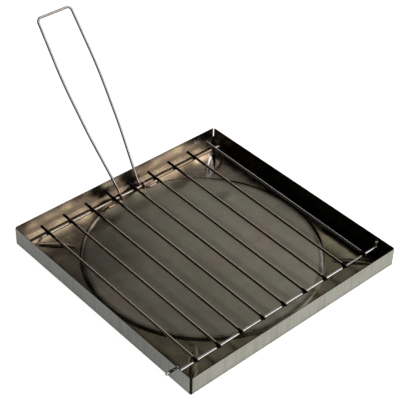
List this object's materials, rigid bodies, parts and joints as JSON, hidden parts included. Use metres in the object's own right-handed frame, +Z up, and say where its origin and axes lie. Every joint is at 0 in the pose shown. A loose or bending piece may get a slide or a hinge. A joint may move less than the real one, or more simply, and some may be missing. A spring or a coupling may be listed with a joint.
{
  "type": "stovetop toaster",
  "caption": "Folding wire toaster for a camp stove: square folded steel tray, hinged wire grille that lifts, and a looped wire handle that folds flat over it.",
  "frame": {"origin": "middle of the tray's underside, in the plane that the toaster stands on, under the raised round plateau", "axes": "+Z up; +Y to the rear, where the handle is, along the long wires; +X to the right seen from the front, along the hinge axes"},
  "size_m": [0.2415, 0.3154, 0.1511],
  "materials": {
    "tray_sheet": "bright rolled steel sheet, heat-stained and smoked inside",
    "grille_wire": "drawn steel wire, darkened by heat, bright along its top",
    "handle_wire": "drawn steel wire, grey satin"
  },
  "bodies": {
    "tray": {"tray": "tray_sheet"},
    "grille": {"long_wire_1": "grille_wire", "long_wire_2": "grille_wire", "long_wire_3": "grille_wire", "long_wire_4": "grille_wire", "long_wire_5": "grille_wire", "long_wire_6": "grille_wire", "long_wire_7": "grille_wire", "long_wire_8": "grille_wire", "long_wire_9": "grille_wire", "front_cross_wire": "grille_wire", "rear_cross_wire": "grille_wire"},
    "handle": {"handle": "handle_wire"}
  },
  "joints": [
    {"name": "grille_lift", "type": "hinge", "parent": "tray", "child": "grille", "pos_m": [0, -0.0965, 0.0147], "axis": [1, 0, 0], "range_deg": [0, 145]},
    {"name": "handle_fold", "type": "hinge", "parent": "grille", "child": "handle", "pos_m": [-0.0031, 0.0935, 0.0142], "axis": [1, 0, 0], "range_deg": [0, 126.5]}
  ]
}
